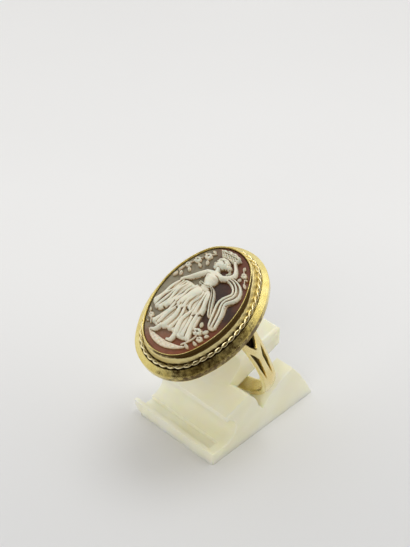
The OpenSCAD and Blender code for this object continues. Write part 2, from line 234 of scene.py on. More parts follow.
def finishPiece(name, mesh, finish, stands, sharp):  # edges over so many degrees stay sharp
    mesh.polygons.foreach_set("use_smooth", [True] * len(mesh.polygons))
    mesh.set_sharp_from_angle(angle=radians(sharp))
    mesh.materials.clear()
    mesh.materials.append(finish)
    piece = bpy.data.objects.new(name, mesh)
    bpy.context.scene.collection.objects.link(piece)
    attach(piece, "root")
    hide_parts(stands)
    print(name, len(mesh.polygons), "faces")


def skin(rows, columns, wrapRows=False, wrapColumns=False, start=0):  # faces between rows of points
    r, c = np.meshgrid(np.arange(rows if wrapRows else rows - 1),
                       np.arange(columns if wrapColumns else columns - 1), indexing="ij")
    nextRow, nextColumn = (r + 1) % rows, (c + 1) % columns
    quads = [r * columns + c, r * columns + nextColumn, nextRow * columns + nextColumn, nextRow * columns + c]
    return np.stack(quads, -1).reshape(-1, 4) + start


def arcPoints(p, q, sag, count):  # an arc from p to q, bulging to its left by sag, both ends included
    p, q = np.array(p, float), np.array(q, float)
    length = np.linalg.norm(q - p)
    along = (q - p) / length
    left = np.array([-along[1], along[0]])
    radius = (length ** 2 / 4 + sag ** 2) / (2 * sag)
    half = asin(length / 2 / radius)
    centre = (p + q) / 2 + left * (sag - radius)
    return [tuple(centre + radius * (left * cos(a) + along * sin(a))) for a in np.linspace(-half, half, count)]


def softened(corners, steps=4):  # rounds each corner (x, y, radius) of an outline; one without radius stays
    made = []
    for i, corner in enumerate(corners):
        here = Vector(corner[:2])
        if len(corner) < 3:
            made.append(tuple(here))
            continue
        before, after = Vector(corners[i - 1][:2]) - here, Vector(corners[(i + 1) % len(corners)][:2]) - here
        reach = min(corner[2] / tan(before.angle(after) / 2), before.length * 0.45, after.length * 0.45)
        p, q = here + before.normalized() * reach, here + after.normalized() * reach
        for t in np.linspace(0, 1, steps + 1):
            made.append(tuple((1 - t) ** 2 * p + 2 * t * (1 - t) * here + t * t * q))
    return np.array(made)


# the ring's place on its stand, and the plain band
place = {"seat": (0.39, 3.3, 4.93), "turn": 3.2, "lean": 21.3, "tilt": 2.2, "faceLean": 1.6, "faceShift": -0.51}
band = {"innerRadius": 8.5, "thickness": 1.1, "width": 2.4, "shoulderWidth": 3.55, "crown": 3.0,
        "shoulderRadius": 27.2, "flare": 1.9, "top": 9.85, "rim": 10.5}
outerRadius = band["innerRadius"] + band["thickness"]
ringPlace = (Matrix.Translation(place["seat"]) @ Matrix.Rotation(radians(place["turn"]), 4, "Z")
             @ Matrix.Rotation(radians(place["lean"]), 4, "X") @ Matrix.Rotation(radians(place["tilt"]), 4, "Y")
             @ Matrix.Translation((0, 0, outerRadius)))


def onTheStand(points):  # ring millimetres to the shared frame
    return (np.asarray(points, float) @ np.array(ringPlace.to_3x3()).T + np.array(ringPlace.translation)) * mm


def onTheFace(points):  # the same from the rim's plane, which leans a little more than the hoop
    c, s = cos(radians(place["faceLean"])), sin(radians(place["faceLean"]))
    x, y, z = np.moveaxis(np.asarray(points, float), -1, 0)
    return onTheStand(np.stack([x, y * c - z * s + place["faceShift"], y * s + z * c + band["rim"]], -1))


# the setting: an oval of four arcs, with its seam as a sine and a cosine
oval = {"endRadius": 4.9, "sideRadius": 12.9, "seam": (0.8432, 0.5376)}
endHalf = atan2(*oval["seam"])
sideCentre = (oval["sideRadius"] - oval["endRadius"]) * oval["seam"][0]
endCentre = (oval["sideRadius"] - oval["endRadius"]) * oval["seam"][1]


def ovalLine(count, off):  # points of the oval and outward directions, evenly spaced for a line this far off it
    ends, sides = 2 * endHalf * (oval["endRadius"] + off), (pi - 2 * endHalf) * (oval["sideRadius"] + off)
    lengths = np.cumsum([0, ends, sides, ends, sides])
    angles = [-endHalf, endHalf, pi - endHalf, pi + endHalf, 2 * pi - endHalf]
    a = np.interp(np.arange(count) * lengths[-1] / count, lengths, angles)
    outward = np.stack([-np.sin(a), np.cos(a)], -1)
    onEnd = np.abs(np.cos(a)) >= cos(endHalf)
    base = np.where(onEnd[:, None],
                    np.stack([0 * a, np.sign(np.cos(a)) * endCentre], -1) + oval["endRadius"] * outward,
                    np.stack([np.sign(np.sin(a)) * sideCentre, 0 * a], -1) + oval["sideRadius"] * outward)
    return base, outward


bezel = {"steps": 420, "ledge": 1.5, "flange": 2.0, "rimThickness": 1.34, "channel": 0.4, "channelOut": 1.14,
         "channelIn": 0.53, "collarTop": (0.27, 2.14), "lip": 3.0, "wall": -0.08, "ledgeHeight": 0.3}
ledge, flange, channel, lip = bezel["ledge"], bezel["flange"], bezel["channel"], bezel["lip"]
channelOut, channelIn = bezel["channelOut"], bezel["channelIn"]
# rows of distance out from the oval, height and corner radius
rimRows = [(-ledge, -bezel["rimThickness"], 0.1), (flange - 0.12, -bezel["rimThickness"], 0.2),
           (flange - 0.03, -1.05), (flange, -0.2), (flange, -0.02, 0.07), (flange - 0.09, 0.06, 0.06)]
channelRows = [(channelOut + 0.07, 0.63, 0.08), (channelOut, 0.6, 0.04), (channelOut - 0.03, channel, 0.05),
               (channelIn + 0.04, channel, 0.05), (channelIn, 0.9, 0.05)]
lipRows = [(0.235, 2.26, 0.05), (0.17, 2.27, 0.04), (0.15, 2.4, 0.04), (0.15, 2.86, 0.05), (0.12, lip, 0.05),
           (0.02, lip, 0.05), (bezel["wall"], lip - 0.15, 0.05), (bezel["wall"], bezel["ledgeHeight"], 0.05),
           (-ledge, bezel["ledgeHeight"], 0.1)]
bezelSection = softened(
    rimRows + arcPoints((flange - 0.14, 0.1), (channelOut + 0.16, 0.54), -0.01, 5) + channelRows
    + arcPoints((channelIn - 0.02, 1.0), bezel["collarTop"], 0.05, 8) + lipRows)
base, outward = ovalLine(bezel["steps"], 1.0)
ringOf = base[:, None, :] + outward[:, None, :] * bezelSection[None, :, :1]
heights = np.broadcast_to(bezelSection[None, :, 1:], (bezel["steps"], len(bezelSection), 1))

# painted shade and dark reflection, strongest at the lower right, with some dirt in the channel: how much by
# degrees round the oval from its head by the left; on the collar, the height where the painted dark band begins
shadeByAngle = {"rimWall": ([178, 196, 220, 275, 290, 300], [0, 0.4, 0.7, 0.72, 0.5, 0]),
           "flange": ([165, 185, 215, 245, 272, 290], [0, 0.42, 0.56, 0.64, 0.6, 0]),
           "channel": ([0, 130, 165, 262, 285, 360], [0.35, 0.35, 1, 1, 0.35, 0.35]),
           "collarFrom": ([165, 185, 205, 240, 285, 310], [3.0, 2.6, 2.3, 1.75, 1.75, 3.0]),
           "underLip": ([0, 360], [0.55, 0.55])}
around = np.degrees(np.arctan2(-outward[:, 0], outward[:, 1])) % 360
dark = {key: np.interp(around, *rows)[:, None] for key, rows in shadeByAngle.items()}
out, up = bezelSection.T


def zone(outLow, outHigh, upLow, upHigh):  # the points of the section between these distances and heights
    return (out > outLow) & (out < outHigh) & (up > upLow) & (up < upHigh)


# painted shade and dark reflection on the rim wall, flange, channel, under the lip and up the collar
bezelShadeAndDirt = np.maximum.reduce([
    dark["channel"] * zone(channelIn - 0.01, channelOut + 0.01, channel, 0.84),
    dark["channel"] * 0.75 * zone(0.4, 0.56, 0.84, 1.2),
    dark["underLip"] * zone(0.14, 0.2, 2.2, 2.8),
    dark["rimWall"] * zone(flange - 0.1, inf, -1.2, 0.0),
    dark["flange"] * zone(channelOut + 0.05, flange - 0.05, 0.0, inf),
    np.clip((up - dark["collarFrom"]) / 0.2, 0, 1) * zone(0.1, inf, 1.0, inf)])
makePiece("bezel_frame", onTheFace(np.concatenate([ringOf, heights], -1).reshape(-1, 3)),
          skin(bezel["steps"], len(bezelSection), True, True), goldFinish("bezel_gold", goldLooks["bezel"]),
          "gold_ring", 30,
          {"groove": bezelShadeAndDirt.ravel(), "collar": np.tile(zone(0.1, 0.6, 0.84, inf), bezel["steps"])})

# two strands twisted round each other
rope = {"out": 0.82, "rise": 0.93, "strand": 0.125, "swing": 0.17, "lift": 0.115, "turns": 23, "steps": 1000,
        "sides": 12, "shadeTop": 0.95, "shadeDepth": 0.16}
base, outward = ovalLine(rope["steps"], rope["out"])
turn = np.linspace(0, 2 * pi, rope["sides"], endpoint=False)
ropePoints, ropeFaces, ropeShade = [], [], []
for strand in (0, 1):
    twist = 2 * pi * rope["turns"] * np.arange(rope["steps"]) / rope["steps"] + pi * strand
    off = rope["out"] + rope["swing"] * np.cos(twist)
    line = np.concatenate([base + outward * off[:, None],
                           (rope["rise"] + rope["lift"] * np.sin(twist))[:, None]], -1)
    side = np.concatenate([outward * np.cos(twist)[:, None], np.sin(twist)[:, None]], -1)
    forward = np.roll(line, -1, 0) - np.roll(line, 1, 0)
    forward /= np.linalg.norm(forward, axis=1)[:, None]
    third = np.cross(forward, side)
    tube = (line[:, None] + rope["strand"] * (side[:, None] * np.cos(turn)[None, :, None]
                                              + third[:, None] * np.sin(turn)[None, :, None]))
    ropeFaces.append(skin(rope["steps"], rope["sides"], True, True, strand * rope["steps"] * rope["sides"]))
    # the strands' lower sides are painted with shade
    ropeShade.append(np.clip((rope["shadeTop"] - tube[:, :, 2]) / rope["shadeDepth"], 0, 1).ravel())
    ropePoints.append(tube.reshape(-1, 3))
makePiece("rope_border", onTheFace(np.concatenate(ropePoints)), np.concatenate(ropeFaces),
          goldFinish("rope_gold", goldLooks["rope"]), "gold_ring", 80,
          {"groove": np.concatenate(ropeShade)})


# the shank: a band whose shoulders are fluted and fork under the bezel
shoulder = {"rib": 0.34, "rail": 0.34, "tipY": 0.60, "low": 0.1, "fork": 5.2, "top": 7.3, "depth": 0.7,
            "shift": -0.15, "wallWidth": 0.2, "pocketLow": 6.95, "pocketHalf": 1.0, "pocketDepth": 0.8,
            "fluteShadeAndDirt": 0.72, "rowStep": 0.08, "columns": 36, "underColumns": 6, "edge": 0.14}


def halfWidth(z):
    spread = (band["shoulderWidth"] - band["width"]) / 2
    return band["width"] / 2 + spread * (np.maximum(z, 0) / band["rim"]) ** band["flare"]


def eased(share):  # from 0 to 1, softly at both ends
    share = np.clip(share, 0, 1)
    return share * share * (3 - 2 * share)


def carvedDepth(y, z):  # how deep the flutes and the pocket under the bezel are cut, and how much painted shade, with some dirt, darkens them
    low, fork, top = shoulder["low"], shoulder["fork"], shoulder["top"]
    rib, rail, tipY = shoulder["rib"], shoulder["rail"], shoulder["tipY"]
    y = np.abs(y - shoulder["shift"])
    levels = [low, low + 1.3, fork * 0.6, fork, fork + 1.1, top]
    inner = np.interp(z, levels, [tipY, 0.46, rib, rib, 0.66, halfWidth(top) - rail])
    outer = np.interp(z, levels, [tipY, 0.74] + [halfWidth(level) - rail for level in levels[2:]])
    inside = np.where((z > low) & (z < top), np.minimum(y - inner, outer - y), 0)
    flute = eased(inside / shoulder["wallWidth"])
    pocketRise = band["rim"] - bezel["rimThickness"] - shoulder["pocketLow"]
    risen = np.clip((z - shoulder["pocketLow"]) / pocketRise, 0, 2)
    pocket = eased((shoulder["pocketHalf"] * risen ** 0.75 - y) / shoulder["wallWidth"])
    return (np.maximum(shoulder["depth"] * flute, shoulder["pocketDepth"] * pocket),
            np.maximum(shoulder["fluteShadeAndDirt"] * flute, pocket))


# its outer line, from one shoulder's top round the hoop to the other's
sideRadius = band["shoulderRadius"]
shoulderLength, hoopLength = asin(band["top"] / sideRadius) * sideRadius, pi * outerRadius
rowCount = int((2 * shoulderLength + hoopLength) / shoulder["rowStep"])
run = np.linspace(0, 2 * shoulderLength + hoopLength, rowCount) - shoulderLength - hoopLength / 2
onShoulder, sign = np.abs(run) > hoopLength / 2, np.sign(run)
turnHoop, turnSide = run / outerRadius - pi / 2, (np.abs(run) - hoopLength / 2) / sideRadius
outX = np.where(onShoulder, sign * (outerRadius - sideRadius + sideRadius * np.cos(turnSide)),
                outerRadius * np.cos(turnHoop))
outZ = np.where(onShoulder, sideRadius * np.sin(turnSide), outerRadius * np.sin(turnHoop))
normX = np.where(onShoulder, sign * np.cos(turnSide), np.cos(turnHoop))
normZ = np.where(onShoulder, np.sin(turnSide), np.sin(turnHoop))
width = halfWidth(outZ)[:, None]


def bandSheet(drop, y):  # points this far inside the outer line
    return np.stack([outX[:, None] - normX[:, None] * drop, y, outZ[:, None] - normZ[:, None] * drop], -1)


evenly = np.linspace(0, 1, shoulder["columns"] + 1)
columns = 0.5 * evenly + 0.5 * (1 - (1 - evenly) ** 1.6)  # closer near the outer edge
inward = np.linspace(1, 0, shoulder["underColumns"] + 1)[None]
shankPoints, shankFaces, shankShadeAndDirt = [], [], []
for hand in (-1, 1):
    y = width * columns[None]
    # the second number is painted shade, with some dirt, for the flutes and the pocket
    carved, shadeAndDirt = carvedDepth(hand * y, np.broadcast_to(outZ[:, None], y.shape))
    nearEdge = np.clip(1 - (width - y) / shoulder["edge"], 0, 1)
    drop = band["crown"] - np.sqrt(band["crown"] ** 2 - y ** 2) + carved
    drop = np.minimum(drop + shoulder["edge"] * (1 - np.sqrt(1 - nearEdge ** 2 * 0.98)), band["thickness"] - 0.12)
    outerSheet = bandSheet(drop, hand * y)
    # the inside, its outermost column a little higher as a round edge
    drop = band["thickness"] - 0.16 * (inward >= 0.999) * np.ones_like(width)
    innerSheet = bandSheet(drop, hand * (width * np.where(inward >= 0.999, 1, inward * 0.97)))
    sheet = np.concatenate([outerSheet, innerSheet], 1)
    shankFaces.append(skin(rowCount, sheet.shape[1], start=sum(len(p) for p in shankPoints)))
    shankPoints.append(sheet.reshape(-1, 3))
    shankShadeAndDirt.append(np.concatenate([shadeAndDirt, np.zeros(innerSheet.shape[:2])], 1).ravel())
makePiece("shank", onTheStand(np.concatenate(shankPoints)), np.concatenate(shankFaces),
          goldFinish("shank_gold", goldLooks["shank"]), "gold_ring", 38,
          {"groove": np.concatenate(shankShadeAndDirt)})


# the cameo: a maiden with a fruit basket, a scarf and rose boughs
# its picture is drawn over rows and columns of points, stretched across by its spread
cameo = {"rows": 300, "columns": 176, "edge": -0.16, "ground": 2.67, "dome": 0.4, "underside": 0.38, "seed": 11,
         "spread": 1.14, "edgeFade": 12, "drillDepth": 0.7, "fullCarve": 1.1}


def halfAcross(y, off):  # half width of the oval at a place along it
    y = np.abs(y)
    endR, sideR = oval["endRadius"] + off, oval["sideRadius"] + off
    seamY = endCentre + endR * cos(endHalf)
    onEnd = np.sqrt(np.maximum(endR ** 2 - (y - endCentre) ** 2, 0))
    onSide = np.sqrt(np.maximum(sideR ** 2 - y ** 2, 0)) - sideCentre
    return np.where(y > seamY, onEnd, onSide)


rowTurn = np.linspace(-pi / 2 + 0.03, pi / 2 - 0.03, cameo["rows"])
longHalf = endCentre + oval["endRadius"] + cameo["edge"]
alongY = np.broadcast_to((longHalf * np.sin(rowTurn))[:, None], (cameo["rows"], cameo["columns"]))
acrossX = halfAcross(alongY, cameo["edge"]) * np.linspace(-1, 1, cameo["columns"])[None]
groundZ = cameo["ground"] + cameo["dome"] * np.maximum(
    0, 1 - (acrossX / halfAcross(0.0, 0.0)) ** 2 - (alongY / (endCentre + oval["endRadius"])) ** 2)
pictureX = acrossX / cameo["spread"]
chance = np.random.default_rng(cameo["seed"])


def curve(points, count):  # a smooth line through rows of numbers
    rows = np.array([points[0], *points, points[-1]], float)
    at = np.linspace(0, len(points) - 1, count)
    i = np.minimum(at.astype(int), len(points) - 2)
    t = (at - i)[:, None]
    a, b, c, e = rows[i], rows[i + 1], rows[i + 2], rows[i + 3]
    return (2 * b + (c - a) * t + (2 * a - 5 * b + 4 * c - e) * t ** 2 + (3 * b - a - 3 * c + e) * t ** 3) / 2


def ridge(points, count=12, power=0.5):  # rows of x, y, radius, height: a rounded form along them
    made = np.zeros_like(pictureX)
    line = curve(points, count)
    for p, q in zip(line[:-1], line[1:]):
        dx, dy = q[0] - p[0], q[1] - p[1]
        t = np.clip(((pictureX - p[0]) * dx + (alongY - p[1]) * dy) / max(dx * dx + dy * dy, 1e-9), 0, 1)
        gone = np.hypot(pictureX - p[0] - t * dx, alongY - p[1] - t * dy) / (p[2] + (q[2] - p[2]) * t)
        made = np.maximum(made, (p[3] + (q[3] - p[3]) * t) * np.maximum(1 - gone ** 2, 0) ** power)
    return made


def knob(x, y, radius, height, stretch=1.0):
    gone = ((pictureX - x) / radius) ** 2 + ((alongY - y) / radius / stretch) ** 2
    return height * np.sqrt(np.maximum(1 - gone, 0))


def cloth(outline, height, soft):  # a flat mass inside a closed line, its rim rounded
    line = curve(outline + outline[:1], 6 * len(outline) + 1)
    gap, inside = np.full_like(pictureX, 9.0), np.zeros(pictureX.shape, bool)
    for (x0, y0), (x1, y1) in zip(line[:-1], line[1:]):
        dx, dy = x1 - x0, y1 - y0
        t = np.clip(((pictureX - x0) * dx + (alongY - y0) * dy) / max(dx * dx + dy * dy, 1e-9), 0, 1)
        gap = np.minimum(gap, np.hypot(pictureX - x0 - t * dx, alongY - y0 - t * dy))
        inside ^= ((alongY >= y0) != (alongY >= y1)) & (pictureX < x0 + (alongY - y0) * dx / (dy or 1))
    share = np.clip(gap / soft, 0, 1) * inside
    return height * np.sqrt(1 - (1 - share) ** 2)


def folds(tops, bottoms, count, radii, bend, height):  # long folds that sway between two lines
    made = np.zeros_like(pictureX)
    for p, q in zip(curve(tops, count), curve(bottoms, count)):
        run = q - p
        side = np.array([-run[1], run[0]]) / np.hypot(*run)
        sway, size = chance.uniform(-bend, bend), chance.uniform(0.8, 1.2)
        knots = [p, p + run * 0.35 + side * sway, p + run * 0.7 - side * sway * 0.8, q]
        wide, tall = np.linspace(*radii, 4) * size, (0.75, 0.9, 1.0, 0.95)
        made = np.maximum(made, ridge([(*k, r, height * h) for k, r, h in zip(knots, wide, tall)]))
    return made


def ribbon(points, lanes):  # a band of cloth with folds along it
    line = curve(points, 20)
    ahead = np.gradient(line[:, :2], axis=0)
    side = np.stack([-ahead[:, 1], ahead[:, 0]], -1) / np.linalg.norm(ahead, axis=1)[:, None]
    made = 0.6 * ridge(points, 20, 0.25)
    for i, lane in enumerate(np.linspace(-1 + 1 / lanes, 1 - 1 / lanes, lanes)):
        moved = line.copy()
        moved[:, :2] += side * (lane * line[:, 2] * (1 + 0.25 * np.sin(np.arange(20) * 0.5 + i * 2)))[:, None]
        moved[:, 2] *= 0.92 / lanes
        made = np.maximum(made, ridge(moved, 20))
    return made


def rose(x, y, radius, height):
    gone, turn = np.hypot(pictureX - x, alongY - y) / radius, np.arctan2(alongY - y, pictureX - x)
    petals = np.abs(np.cos(2.5 * turn + 3.0 * gone)) ** 0.6
    rings = 0.5 + 0.5 * np.cos(gone * 10.5 + turn)
    body = np.sqrt(np.maximum(1 - (gone / (0.84 + 0.16 * petals)) ** 2, 0))
    return height * body * (0.62 + 0.22 * petals + 0.16 * rings) * (1 - 0.75 * np.exp(-(gone / 0.17) ** 2))


def leaf(x0, y0, x1, y1, width, height):
    dx, dy = x1 - x0, y1 - y0
    size = np.hypot(dx, dy)
    t = ((pictureX - x0) * dx + (alongY - y0) * dy) / size ** 2
    off = ((alongY - y0) * dx - (pictureX - x0) * dy) / size
    reach = width * np.sin(pi * np.clip(t, 0, 1)) ** 0.7 + 1e-6
    share = np.abs(off) / reach
    return height * np.sqrt(np.maximum(1 - share ** 2, 0)) * (0.72 + 0.28 * np.clip(share * 4, 0, 1)) * (
        1 - 0.16 * np.cos(t * 26 - share * 5)) * ((t > 0) & (t < 1))


def melt(low, high, soft=0.22):  # two forms that flow into each other
    blend = np.clip(0.5 + (high - low) / (2 * soft), 0, 1)
    both = low + (high - low) * blend + soft * 0.5 * blend * (1 - blend)
    return np.where((low > 0) & (high > 0), both, np.maximum(low, high))


# neck, shoulders, trunk, raised arm, lowered arm, then the head; rows of x, y, radius and height
limbs = [
    [(-0.20, 5.30, 0.34, 0.85), (-0.05, 4.75, 0.38, 0.88), (0.00, 4.30, 0.60, 0.95)],
    [(-1.00, 4.15, 0.48, 0.90), (0.00, 4.32, 0.60, 0.98), (0.95, 4.28, 0.48, 0.90)],
    [(0.00, 4.05, 0.82, 0.98), (0.00, 3.50, 0.98, 1.08), (0.10, 2.60, 0.74, 1.02), (0.20, 1.75, 0.95, 1.04)],
    [(0.95, 4.30, 0.44, 0.92), (1.75, 4.72, 0.40, 0.94), (2.18, 5.50, 0.34, 0.92), (1.85, 6.30, 0.28, 0.88),
     (1.30, 6.95, 0.23, 0.88), (1.12, 7.25, 0.24, 0.86)],
    [(-1.00, 4.15, 0.46, 0.92), (-1.62, 3.40, 0.40, 0.94), (-2.18, 2.60, 0.35, 0.94), (-2.66, 2.00, 0.29, 0.92),
     (-3.02, 1.62, 0.25, 0.92), (-3.22, 1.30, 0.26, 0.88)],
    [(-0.34, 6.20, 0.62, 0.98), (-0.20, 6.00, 0.74, 1.02)],
    [(-0.62, 5.86, 0.42, 0.92), (-0.56, 5.46, 0.34, 0.88)],
    [(-1.02, 5.98, 0.11, 0.66), (-1.12, 5.80, 0.12, 0.66)],
    [(-0.94, 5.56, 0.12, 0.68), (-0.92, 5.46, 0.12, 0.66)],
    [(-0.76, 5.26, 0.20, 0.78), (-0.60, 5.20, 0.24, 0.80)],
    [(-0.86, 6.26, 0.22, 0.82), (-0.70, 6.40, 0.30, 0.88)]]
shins = [[(-1.40, -5.80, 0.34, 0.85), (-1.75, -6.70, 0.30, 0.78), (-2.25, -6.95, 0.22, 0.66)],
         [(0.85, -5.80, 0.34, 0.85), (0.80, -6.85, 0.30, 0.76), (0.35, -7.10, 0.22, 0.62)]]
body = np.zeros_like(pictureX)
for limb in limbs:
    body = melt(body, ridge(limb))
for x, y in ((-0.44, 3.62), (0.44, 3.68)):
    body = melt(body, knob(x, y, 0.50, 1.16, 0.95))

longSkirt = [(-0.95, 1.4), (1.15, 1.4), (1.9, -0.6), (2.35, -3.0), (2.65, -5.6), (1.3, -6.2), (-0.2, -5.8),
             (-1.9, -6.3), (-2.75, -5.4), (-2.1, -3.0), (-1.4, -0.6)]
overSkirt = [(-1.05, 1.7), (1.25, 1.7), (1.8, 0.2), (2.15, -1.7), (1.2, -2.5), (0.1, -2.0), (-1.0, -2.7),
             (-2.0, -1.6), (-1.5, 0.2)]
swept = [(-0.9, 1.5), (-2.0, 1.75), (-3.15, 1.5), (-3.7, 0.2), (-4.35, -1.6), (-4.5, -3.3), (-3.5, -4.0),
         (-2.5, -3.4), (-1.9, -1.8), (-1.2, 0.2)]
skirt = np.maximum(cloth(longSkirt, 0.60, 0.3),
                   folds([(-0.8, 0.6), (1.0, 0.6)], [(-2.5, -5.7), (-0.2, -5.6), (2.45, -5.6)],
                         7, (0.22, 0.44), 0.34, 0.94))
over = cloth(overSkirt, 0.80, 0.3)
over = np.maximum(over, folds([(-0.8, 1.6), (1.05, 1.6)], [(-1.85, -1.9), (0.0, -2.2), (2.0, -1.9)],
                              6, (0.17, 0.40), 0.24, 1.1) * (over > 0))
knee = ridge([(-0.15, 1.0, 0.85, 1.10), (-0.55, 0.0, 0.78, 1.14), (-0.85, -1.0, 0.62, 1.16),
              (-0.95, -1.6, 0.42, 1.04)])
panel = np.maximum(cloth(swept, 0.52, 0.3),
                   folds([(-3.15, 1.35), (-2.3, 1.45), (-1.2, 1.2)], [(-4.35, -3.1), (-3.4, -3.8), (-2.2, -2.6)],
                         6, (0.17, 0.40), 0.28, 0.86))
scarf = ribbon([(1.5, 4.6, 0.34, 0.75), (2.4, 4.7, 0.50, 0.78), (3.4, 4.1, 0.62, 0.82), (3.9, 2.9, 0.70, 0.84),
                (3.3, 1.3, 0.66, 0.84), (3.7, -0.4, 0.70, 0.8), (4.0, -2.4, 0.55, 0.7)], 3)
sash = ribbon([(-0.75, 2.15, 0.24, 1.16), (0.1, 2.0, 0.26, 1.22), (0.95, 2.2, 0.24, 1.16), (1.6, 1.5, 0.26, 1.0),
               (2.2, 0.2, 0.30, 0.8), (2.9, -1.2, 0.34, 0.7)], 2)
hair = ridge([(-0.72, 6.55, 0.26, 0.98), (-0.25, 6.82, 0.40, 1.06), (0.30, 6.62, 0.48, 1.10),
              (0.42, 6.05, 0.42, 1.04)])
hairAway, hairTurn = np.hypot(pictureX - 0.1, alongY - 6.0), np.arctan2(alongY - 6.0, pictureX - 0.1)
hair = np.maximum(hair, knob(0.92, 6.15, 0.40, 1.06)) * (0.95 + 0.05 * np.cos(9 * hairAway * 2.2 + 2 * hairTurn))
hair = np.maximum(hair, ribbon([(1.15, 5.95, 0.14, 0.7), (1.45, 5.45, 0.16, 0.7), (1.30, 4.95, 0.14, 0.7)], 2))

basket = cloth([(-0.95, 7.15), (0.1, 7.05), (1.1, 7.15), (1.42, 7.9), (0.1, 7.98), (-1.3, 7.9)], 0.9, 0.22)
basket *= 0.90 + 0.10 * np.sign(np.cos(pictureX * 15)) * np.cos(alongY * 17)
basket = np.maximum(basket, ridge([(-1.35, 7.92, 0.13, 1.0), (0.05, 8.0, 0.14, 1.02), (1.48, 7.92, 0.13, 1.0)]))
for x, y, radius in ((-1.02, 8.14, 0.33), (-0.42, 8.32, 0.38), (0.26, 8.36, 0.38), (0.92, 8.18, 0.34),
                     (-0.72, 8.0, 0.22), (0.60, 8.02, 0.26), (-0.08, 8.08, 0.26)):
    basket = np.maximum(basket, knob(x, y, radius, 0.95))
boughs = np.zeros_like(pictureX)
for stem in ([(-1.9, 7.2, 0.09, 0.4), (-2.7, 6.3, 0.10, 0.45), (-3.5, 5.2, 0.10, 0.45), (-4.2, 3.9, 0.10, 0.42),
              (-4.6, 2.4, 0.08, 0.36)],
             [(2.3, -6.7, 0.12, 0.45), (2.9, -5.6, 0.12, 0.45), (3.2, -4.6, 0.10, 0.45), (3.4, -3.6, 0.10, 0.4)],
             [(2.5, 7.0, 0.09, 0.4), (3.1, 6.3, 0.10, 0.42), (3.7, 5.4, 0.09, 0.4)],
             [(-2.9, -6.2, 0.10, 0.4), (-3.5, -5.3, 0.10, 0.42), (-4.1, -4.7, 0.09, 0.38)]):
    boughs = np.maximum(boughs, ridge(stem))
for x, y, radius, height in ((-2.55, 6.35, 0.62, 0.74), (-3.45, 5.15, 0.60, 0.76), (-4.15, 3.85, 0.52, 0.7),
                             (2.95, -4.05, 0.68, 0.8), (3.75, -4.75, 0.50, 0.66), (3.05, 6.35, 0.50, 0.66),
                             (-3.6, -5.2, 0.50, 0.62)):
    boughs = np.maximum(boughs, rose(x, y, radius, height))
for x, y, turn, size, width in (  # leaves, by their foot and direction
        (-1.95, 7.15, 150, 0.9, 0.26), (-3.05, 6.55, 165, 0.8, 0.26), (-2.2, 5.75, -70, 0.8, 0.26),
        (-3.0, 4.8, -40, 0.8, 0.26), (-4.0, 5.2, 110, 0.7, 0.22), (-4.45, 3.3, -110, 0.9, 0.28),
        (-3.7, 3.6, -60, 0.8, 0.26), (-4.75, 4.2, 120, 0.6, 0.2), (-4.6, 2.2, -100, 0.9, 0.28),
        (-4.2, 2.6, -75, 0.8, 0.24), (2.4, -5.4, 150, 0.7, 0.24), (3.3, -5.5, -20, 0.8, 0.26),
        (3.6, -3.9, 60, 0.9, 0.26), (2.6, -6.3, -30, 0.9, 0.26), (2.9, -3.3, 100, 0.8, 0.26),
        (4.1, -4.2, 60, 0.7, 0.22), (2.55, 6.9, 100, 0.7, 0.22), (3.45, 5.9, 20, 0.8, 0.25),
        (3.7, 5.3, -40, 0.8, 0.26), (3.0, 5.75, -100, 0.7, 0.22), (-3.1, -5.7, 30, 0.6, 0.2),
        (-4.0, -4.9, 120, 0.8, 0.25), (-3.3, -6.1, 190, 0.6, 0.2), (-4.05, -5.3, 200, 0.6, 0.2)):
    tipX, tipY = x + size * cos(radians(turn)), y + size * sin(radians(turn))
    boughs = np.maximum(boughs, leaf(x, y, tipX, tipY, width, 0.56))
turf = cloth([(-3.0, -6.75), (-1.5, -7.1), (0.2, -7.25), (2.0, -6.95), (2.9, -6.5), (2.6, -7.2), (1.2, -8.1),
              (-0.2, -8.35), (-1.8, -7.9)], 0.42, 0.25)
turf *= 0.86 + 0.14 * np.sin(pictureX * 9 + alongY * 3) * np.sin(alongY * 8 - pictureX * 2)

relief = np.maximum.reduce([turf, boughs, scarf, panel, skirt, over, sash])
for shin in shins:
    relief = np.maximum(relief, ridge(shin))
relief = np.maximum(melt(relief, knee, 0.12), basket)
relief = np.maximum(np.maximum(relief, body), hair)
drilled = np.zeros_like(pictureX)  # small drill marks
for x, y, radius in ((-2.95, 5.85, 0.11), (-3.0, 5.6, 0.09), (-3.95, 4.6, 0.10), (-3.8, 4.35, 0.10),
                     (3.35, -4.5, 0.11), (3.2, -3.4, 0.10), (3.3, 5.95, 0.09), (-0.62, 6.9, 0.08),
                     (-0.15, 7.1, 0.09), (0.45, 7.02, 0.08), (-0.4, 4.98, 0.07), (-1.15, -2.62, 0.09),
                     (0.2, -2.12, 0.10), (1.35, -2.55, 0.10), (-2.7, -3.45, 0.09), (-3.3, -4.0, 0.09),
                     (0.2, -5.95, 0.10), (-1.1, -6.2, 0.10), (1.5, -6.25, 0.10), (-3.85, -4.75, 0.09)):
    drilled = np.maximum(drilled, np.exp(-(np.hypot(pictureX - x, alongY - y) / radius) ** 4))
relief *= 1 - cameo["drillDepth"] * drilled
toEdge = 1 - np.hypot(acrossX / halfAcross(0.0, cameo["edge"]), alongY / longHalf)
relief *= np.clip(toEdge * cameo["edgeFade"], 0, 1)
faceZ = groundZ + relief


def softer(field, times):
    field = field.copy()
    for _ in range(times):
        field[1:-1, 1:-1] = (field[:-2, 1:-1] + field[2:, 1:-1] + field[1:-1, :-2] + field[1:-1, 2:]) / 4
    return field


